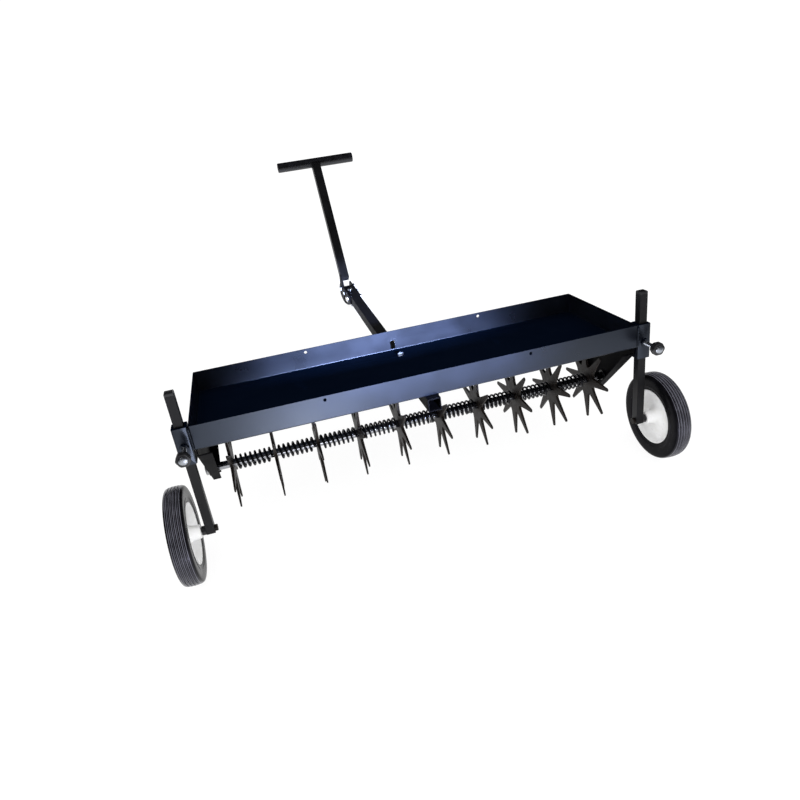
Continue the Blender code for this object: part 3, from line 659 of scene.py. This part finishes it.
for word in ("left", "right"):
    hub = level_place(f"wheel_{word}_spin")
    place(f"ribbed_tyre_{word}", turned(tyre_profile(), hub, steps=TYRE_STEPS), RUBBER,
          f"wheel_{word}", [f"tyre_{word}"], smooth=40)
print(f"tyre diameter: {2 * TYRE_RADIUS * 1000:.0f} mm, with {RIBS} ribs")

# %% [markdown]
# ## Rims
# The white rims are two pressed dishes back to back. From the outer lip each face steps in,
# slopes to a flat web and rises again round the hub, which reaches further out on the side
# towards the arm.

# %% Turn the rims
HUB_INBOARD = 0.034
HUB_OUTBOARD = 0.021
WEB_HALF = 0.0034


def rim_face(hub_reach):
    """One face's outline from the lip down to the bore: (distance from the middle, radius)."""
    lip = [(0.0188, 0.0001), (0.0186, 0.0018), (0.0172, 0.0030), (0.0120, 0.0044),
           (0.0062, 0.0068), (0.0040, 0.0098), (WEB_HALF, 0.0160)]
    points = [(away, RIM_RADIUS - fall) for away, fall in lip]
    points += [(WEB_HALF, 0.0300), (0.0044, 0.0240), (0.0085, 0.0195), (0.0130, 0.0170)]
    points += [(hub_reach - 0.0030, 0.0152), (hub_reach - 0.0008, 0.0146), (hub_reach, 0.0136),
               (hub_reach, 0.0084)]
    return points


for side, word in ((-1, "left"), (1, "right")):
    inboard = [(-side * away, radius) for away, radius in rim_face(HUB_INBOARD)]
    outboard = [(side * away, radius) for away, radius in rim_face(HUB_OUTBOARD)]
    hub = level_place(f"wheel_{word}_spin")
    place(f"dished_rim_{word}", turned(inboard + outboard[::-1], hub), WHITE_ENAMEL,
          f"wheel_{word}", [f"rim_{word}"])
print(f"rim diameter: {2 * RIM_RADIUS * 1000:.0f} mm")

# %% [markdown]
# ## Springs
# Nine coil springs fill the shaft between the discs and keep them apart. A coil is a curve with a
# round bevel. It could follow the CAD's eight points a turn, but the highlights on round wire
# need a smooth curve, so here each turn has 28.

# %% Bend a wire
def wind(name, points, radius, sides, swell=None):
    """A round wire along points, made a mesh so that its place can be in its vertices."""
    line = bpy.data.curves.new(name, "CURVE")
    line.dimensions = "3D"
    line.bevel_depth = radius
    line.bevel_resolution = sides
    line.use_fill_caps = True
    spline = line.splines.new("POLY")
    spline.points.add(len(points) - 1)
    for step, (target, point) in enumerate(zip(spline.points, points)):
        target.co = (*point, 1.0)
        target.radius = swell[step] if swell else 1.0
    carrier = bpy.data.objects.new(name, line)
    bpy.context.collection.objects.link(carrier)
    bm = bmesh.new()
    bm.from_mesh(carrier.to_mesh())
    carrier.to_mesh_clear()
    bpy.data.objects.remove(carrier)
    bpy.data.curves.remove(line)
    return bm


print("wind:", wind.__doc__)

# %% Wind the springs
SPRINGS = 9
STAR_PITCH = 0.1016
DISC_THICKNESS = 0.0068
COIL_RADIUS = 0.0155
WIRE_RADIUS = 0.0025
COIL_TURNS = 7.5
POINTS_A_TURN = 28
CLEARANCE = 0.0003


def coil_points(start, end):
    """A helix along the shaft whose ends run straight for one wire diameter."""
    run = 2 * WIRE_RADIUS
    count = round(COIL_TURNS * POINTS_A_TURN)
    points = [Vector((start, COIL_RADIUS, 0))]
    for step in range(count + 1):
        angle = math.tau * step / POINTS_A_TURN
        points.append(Vector((start + run + (end - start - 2 * run) * step / count,
                              COIL_RADIUS * math.cos(angle), COIL_RADIUS * math.sin(angle))))
    points.append(Vector((end, points[-1].y, points[-1].z)))
    return points


for index in range(SPRINGS):
    start = (index - SPRINGS / 2) * STAR_PITCH + DISC_THICKNESS / 2 + CLEARANCE
    end = start + STAR_PITCH - DISC_THICKNESS - 2 * CLEARANCE
    coil = wind(f"coil_{index + 1}", coil_points(start, end), WIRE_RADIUS, sides=4)
    coil.transform(Matrix.Translation((0, SHAFT_Y, SHAFT_Z)))
    place(f"coil_spring_{index + 1}", coil, TEMPERED_WIRE, "frame", [f"spring_{index + 1}"],
          smooth=60)
print("coils in all:", SPRINGS * COIL_TURNS)

# %% [markdown]
# ## Clamp studs
# A knob on a threaded stud squeezes each arm in its sleeve. The stud runs right through the knob
# to a domed head, which is what catches the eye from behind. It is chromed, and its thread is
# real geometry, a ridge every 1.5 mm, because a bump would vanish on the outline.

# %% Draw the stud
KNOB_HALF = 0.0080
THREAD_PITCH = 0.0015
HEAD_RADIUS = 0.0092
HEAD_HEIGHT = 0.0024
HEAD_STEPS = 8
HEAD_GAP = 0.0003
HEAD_EDGE = 0.0002
SHANK_RADIUS = 0.0050
SHANK_END = 0.0070
ROOT_RADIUS = 0.0043
ROOT_FALL = 0.0002
FIRST_RIDGE = 0.0078
UNTHREADED = 0.0090
TIP_TAPER = 0.0008
TIP_RADIUS = 0.0038
TIP_BEHIND_AXLE = 0.0098
NEAR_AXIS = 0.0001
STUD_STEPS = 48


def stud_profile(end):
    """The stud's outline, from the domed head outside the knob to its tip at the arm."""
    face = -KNOB_HALF - HEAD_GAP
    turns = [step * math.pi / (2 * HEAD_STEPS) for step in range(HEAD_STEPS)]
    points = [(face - HEAD_HEIGHT * math.cos(turn), max(HEAD_RADIUS * math.sin(turn), NEAR_AXIS))
              for turn in turns]
    points += [(face - HEAD_EDGE, HEAD_RADIUS), (face, HEAD_RADIUS - HEAD_EDGE),
               (face, SHANK_RADIUS), (SHANK_END, SHANK_RADIUS),
               (SHANK_END + ROOT_FALL, ROOT_RADIUS)]
    for ridge in range(int((end - UNTHREADED) / THREAD_PITCH)):
        at = FIRST_RIDGE + ridge * THREAD_PITCH
        points += [(at, ROOT_RADIUS), (at + 0.35 * THREAD_PITCH, SHANK_RADIUS),
                   (at + 0.6 * THREAD_PITCH, SHANK_RADIUS)]
    points += [(end - TIP_TAPER, ROOT_RADIUS), (end, TIP_RADIUS), (end, NEAR_AXIS)]
    return points


print(f"thread: a ridge every {THREAD_PITCH * 1000:.1f} mm")

# %% [markdown]
# ## Clamp knobs
# The knobs are moulded nylon with six lobes for the fingers. A round block is turned first, and
# its rim is then pushed in and out by a cosine six times round, which keeps the lobes smooth.
# On each side the stud and its knob are placed together, because they turn as one.

# %% Shape the knobs and place both
KNOB_RADIUS = 0.0147
KNOB_STEPS = 120
KNOB_EDGE = 0.0022
EDGE_POINTS = 4
BORE_RADIUS = 0.0055
FACE_RADIUS = 0.0104
FACE_STEP = 0.0005
RING_RADIUS = 0.0109
LOBES = 6
LOBE_DEPTH = 0.0006
LOBES_BEYOND = 0.0110


def knob_shape(centre):
    """A round block, bored through, whose rim is pushed in and out six times for the fingers."""
    turns = [step * math.pi / (2 * EDGE_POINTS) for step in range(EDGE_POINTS + 1)]
    face = [(0, BORE_RADIUS), (0, FACE_RADIUS), (FACE_STEP, RING_RADIUS)]
    face += [(FACE_STEP + KNOB_EDGE * (1 - math.cos(turn)),
              KNOB_RADIUS - KNOB_EDGE * (1 - math.sin(turn))) for turn in turns]
    profile = [(-KNOB_HALF + inward, radius) for inward, radius in face]
    profile += [(KNOB_HALF - inward, radius) for inward, radius in reversed(face)]
    bm = turned(profile, (0, 0, 0), steps=KNOB_STEPS, axis="Y")
    for vert in bm.verts:
        radius = math.hypot(vert.co.x, vert.co.z)
        if radius > LOBES_BEYOND:
            push = 1 + LOBE_DEPTH / radius * math.cos(LOBES * math.atan2(vert.co.z, vert.co.x))
            vert.co.x *= push
            vert.co.z *= push
    bm.transform(Matrix.Translation(centre))
    return bm


for word in ("left", "right"):
    knob_at = level_place(f"clamp_{word}_turn")
    reach = level_place(f"wheel_{word}_spin").y - TIP_BEHIND_AXLE - knob_at.y
    stud = turned(stud_profile(reach), knob_at, steps=STUD_STEPS, axis="Y")
    place(f"threaded_stud_{word}", stud, CHROME, f"clamp_{word}", [f"clamp_stud_{word}"])
    place(f"lobed_knob_{word}", knob_shape(knob_at), NYLON, f"clamp_{word}",
          [f"clamp_knob_{word}"], smooth=50)
print(f"stud: {reach * 1000:.0f} mm from the knob's middle to its tip")
print(f"knob: {2 * KNOB_RADIUS * 1000:.1f} mm across, with {LOBES} lobes")

# %% [markdown]
# ## Weld beads
# Sleeves and hangers are welded to the tray, and the cross-bar to the handle. A bead is a row of
# puddles, each frozen over the last, so its radius swells and shrinks about every 2 mm, and it
# tapers at both ends, where the torch was lifted.

# %% A weld bead
PUDDLE = 0.0021
BEAD_STEP = 0.0004
NECK = 0.82
PUDDLE_SWELL = 0.18
TIP = 0.35
TIP_GROWTH = 0.65


def bead(name, corners, radius, body, look=SHADED_CHASSIS_BLACK):
    """A weld bead along level corners."""
    points = []
    for first, last in zip(corners, corners[1:]):
        count = max(1, round((last - first).length / BEAD_STEP))
        points += [first.lerp(last, step / count) for step in range(count)]
    points.append(corners[-1])
    swell = []
    for step in range(len(points)):
        puddle = abs(math.sin(math.pi * step * BEAD_STEP / PUDDLE))
        from_end = min(step, len(points) - 1 - step) * BEAD_STEP / radius
        swell.append((NECK + PUDDLE_SWELL * puddle) * min(1.0, TIP + TIP_GROWTH * from_end))
    place(name, wind(name, points, radius, sides=2, swell=swell), look, body, smooth=60)


print(f"a puddle every {PUDDLE * 1000:.1f} mm, drawn with a point every {BEAD_STEP * 1000:.1f} mm")

# %% Weld sleeves and hangers to the tray
SLEEVE_WELD_X = 0.5092
SLEEVE_WELD_Y = -0.1614
SLEEVE_WELD_ENDS_Z = (-0.0530, -0.0030)
HANGER_WELD_ENDS_X = (0.479, 0.507)
HANGER_WELD_Y = -0.1503
HANGER_WELD_Z = -0.0556

for side, word in ((-1, "left"), (1, "right")):
    bead(f"sleeve_bead_{word}",
         [Vector((side * SLEEVE_WELD_X, SLEEVE_WELD_Y, z)) for z in SLEEVE_WELD_ENDS_Z],
         radius=0.0032, body="frame", look=POWDER_COAT)
    bead(f"hanger_bead_{word}",
         [Vector((side * x, HANGER_WELD_Y, HANGER_WELD_Z)) for x in HANGER_WELD_ENDS_X],
         radius=0.0018, body="frame")
print("sleeve beads:", round((SLEEVE_WELD_ENDS_Z[1] - SLEEVE_WELD_ENDS_Z[0]) * 1000), "mm long")

# %% [markdown]
# ## The handle's weld
# The upright's end is cut to a saddle that fits the round cross-bar, and the bead runs round that
# saddle. Its line is where the square tube meets the bar: along both sides it follows the bar's
# circle, seen square to the upright, which leans from the folding bolt to the bar.

# %% Weld the cross-bar to the handle
BAR_RADIUS = 0.0167
UPRIGHT_HALF = 0.0150
SADDLE_STEPS = 6

fold_at = level_place("handle_fold")
bar_low, bar_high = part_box("handle_bar")
bar_at = stance.inverted() @ ((bar_low + bar_high) / 2)
leaning = Vector((0, bar_at.y - fold_at.y, bar_at.z - fold_at.z)).normalized()
square_to = Vector((0, leaning.z, -leaning.y))
saddle = [square_to * v - leaning * math.sqrt(BAR_RADIUS ** 2 - v ** 2)
          for v in (UPRIGHT_HALF * (step / SADDLE_STEPS - 1)
                    for step in range(2 * SADDLE_STEPS + 1))]
ring = [bar_at + Vector((side * UPRIGHT_HALF, 0, 0)) + point
        for side, run in ((-1, saddle), (1, saddle[::-1])) for point in run]
bead("bar_bead", ring + ring[:1], radius=0.0017, body=body_with("handle_bar"))

# %% [markdown]
# ## Floor
# The photograph is cut out on white. Here a pale floor runs on without an edge, and camera,
# glossy and see-through rays meet it as near white, with only the softest shadow. Every other
# ray meets a plain pale floor, so it lights the machine no more than a real one would.

# %% Lay the floor
WHITE = (1, 1, 1, 1)
FLOOR_HALF = 30
FLOOR_BELOW = 0.0005


def seen_rays(tree):
    """One for rays that show a thing, straight or in a mirror or glass, and nought for others."""
    rays = add(tree, "LightPath").outputs
    mirrored = add(tree, "Math", {0: rays["Is Camera Ray"], 1: rays["Is Glossy Ray"]},
                   operation="MAXIMUM")
    return add(tree, "Math", {0: mirrored, 1: rays["Is Transmission Ray"]}, operation="MAXIMUM")


def pale_floor():
    """A matt pale floor that glows nearly white where it is seen."""
    made = bpy.data.materials.new("pale_floor")
    made.use_nodes = True
    tree = made.node_tree
    tree.nodes.clear()
    matt = add(tree, "BsdfDiffuse", {"Color": "#e8e8e8"})
    faint = add(tree, "BsdfDiffuse", {"Color": "#6e6e6e"})
    glow = add(tree, "Emission", {"Color": WHITE, "Strength": 0.90})
    lit = add(tree, "AddShader", {0: faint, 1: glow})
    chosen = add(tree, "MixShader", {0: seen_rays(tree), 1: matt, 2: lit})
    add(tree, "OutputMaterial", {"Surface": chosen})
    return made


bm = bmesh.new()
bmesh.ops.create_grid(bm, x_segments=1, y_segments=1, size=FLOOR_HALF)
floor_mesh = bpy.data.meshes.new("floor")
bm.to_mesh(floor_mesh)
bm.free()
floor = bpy.data.objects.new("floor", floor_mesh)
floor.location.z = cad_box[0].z - FLOOR_BELOW
floor_mesh.materials.append(pale_floor())
bpy.context.collection.objects.link(floor)
print("floor height:", round(floor.location.z, 4))

# %% [markdown]
# ## Lamps
# Black paint has hardly any colour of its own: it shows what it mirrors. The tray's walls lean
# with the machine, so the near one mirrors the ground behind the camera: two light tables that
# face up there draw its bright stretch and its slow fade. Nothing mirrored reaches the far wall,
# so a bluish beam over the near wall lights it. A round beam would light the springs too, so its
# lamp is squashed to a flat oval. Key and fill only lift the rest a little.

# %% Hang the lamps
def aimed(holder, at, aim):
    """Set something on its place in the studio, facing its aim."""
    holder.location = at
    holder.rotation_euler = (Vector(aim) - Vector(at)).to_track_quat("-Z", "Y").to_euler()
    bpy.context.collection.objects.link(holder)
    return holder


def softbox(name, at, aim, size, watts, colour="#ffffff"):
    """A rectangular lamp that the camera doesn't see."""
    lamp = bpy.data.lights.new(name, "AREA")
    lamp.shape = "RECTANGLE"
    lamp.size, lamp.size_y = size
    lamp.energy = watts
    lamp.color = linear(colour)[:3]
    holder = aimed(bpy.data.objects.new(name, lamp), at, aim)
    holder.visible_camera = False


machine_middle = (cad_box[0] + cad_box[1]) / 2
softbox("key", at=(-1.9, -2.2, 2.6), aim=machine_middle, size=(1.4, 1.0), watts=7)
softbox("fill", at=(2.4, -1.2, 1.8), aim=machine_middle, size=(1.4, 1.4), watts=9)
softbox("light_table", at=(-0.215, -2.6, 0.02), aim=(-0.215, -2.6, 1.0), size=(0.42, 2.0),
        watts=35, colour="#eef1ff")
softbox("pale_table", at=(0.50, -2.6, 0.01), aim=(0.50, -2.6, 1.0), size=(1.8, 2.0),
        watts=8, colour="#eef1ff")

# %% Aim the beam at the far wall
BEAM_AT = (0.10, -2.3, 1.30)
BEAM_AIM = (-0.02, -0.28, 0.262)
BEAM_WATTS = 4200
BEAM_DEGREES = 18
BEAM_BLEND = 0.55
BEAM_SOURCE_RADIUS = 0.12
BEAM_HEIGHT_SHARE = 0.28

beam = bpy.data.lights.new("far_wall_beam", "SPOT")
beam.energy = BEAM_WATTS
beam.color = linear("#c8d6ff")[:3]
beam.spot_size = math.radians(BEAM_DEGREES)
beam.spot_blend = BEAM_BLEND
beam.shadow_soft_size = BEAM_SOURCE_RADIUS
beam_holder = aimed(bpy.data.objects.new("far_wall_beam", beam), BEAM_AT, BEAM_AIM)
beam_holder.scale = (1.0, BEAM_HEIGHT_SHARE, 1.0)
print("beam length:", round((Vector(BEAM_AIM) - Vector(BEAM_AT)).length, 2), "m")

# %% [markdown]
# ## Black flags
# Ahead of the machine, behind, beside and above it stand black flags, as a photographer uses
# them. Only glossy rays see them, so they take no light away, but the tray's floor and the discs
# stay black. White card would do the opposite and turn every painted face grey.

# %% Stand the flags
FLAG_CLOTH = bpy.data.materials.new("black_flag_cloth")
FLAG_CLOTH.use_nodes = True
feed(FLAG_CLOTH.node_tree, FLAG_CLOTH.node_tree.nodes["Principled BSDF"],
     {"Base Color": "#0c0c10"})


def black_flag(name, at, aim, size):
    """A square metre of black cloth, stretched to its size and seen by glossy rays only."""
    cloth = bpy.data.meshes.new(name)
    bm = bmesh.new()
    bmesh.ops.create_grid(bm, x_segments=1, y_segments=1, size=0.5)
    bmesh.ops.scale(bm, verts=bm.verts, vec=(*size, 1))
    bm.to_mesh(cloth)
    bm.free()
    cloth.materials.append(FLAG_CLOTH)
    flag = aimed(bpy.data.objects.new(name, cloth), at, aim)
    flag.visible_camera = False
    flag.visible_diffuse = False
    flag.visible_transmission = False
    flag.visible_shadow = False


black_flag("flag_ahead", at=(0, 2.6, 1.8), aim=(0, 0, 1.8), size=(3.6, 3.6))
black_flag("flag_behind", at=(0, -4.4, 2.9), aim=(0, 0, 2.9), size=(7.0, 4.0))
black_flag("flag_above", at=(0, -0.3, 3.6), aim=(0, -0.3, 0), size=(3.6, 5.8))
for side in (-1, 1):
    black_flag("flag_beside", at=(side * 1.8, -0.3, 1.8), aim=(0, -0.3, 1.8), size=(5.8, 3.6))

# %% [markdown]
# ## The studio's white
# The world is a white room. Rays that show it meet it at strength 1, which is plain white, and it
# lights the machine a little more strongly from all round, as white walls do.

# %% Paint the world
ROOM_LIGHT = 1.2

world = bpy.data.worlds.new("studio")
bpy.context.scene.world = world
world.use_nodes = True
room = world.node_tree
room.nodes.clear()
strength = add(room, "MapRange", {"Value": seen_rays(room), "To Min": ROOM_LIGHT, "To Max": 1.0})
white_room = add(room, "Background", {"Color": WHITE, "Strength": strength})
add(room, "OutputWorld", {"Surface": white_room})

# %% [markdown] ## Sizes Dressing must not change the machine's size.
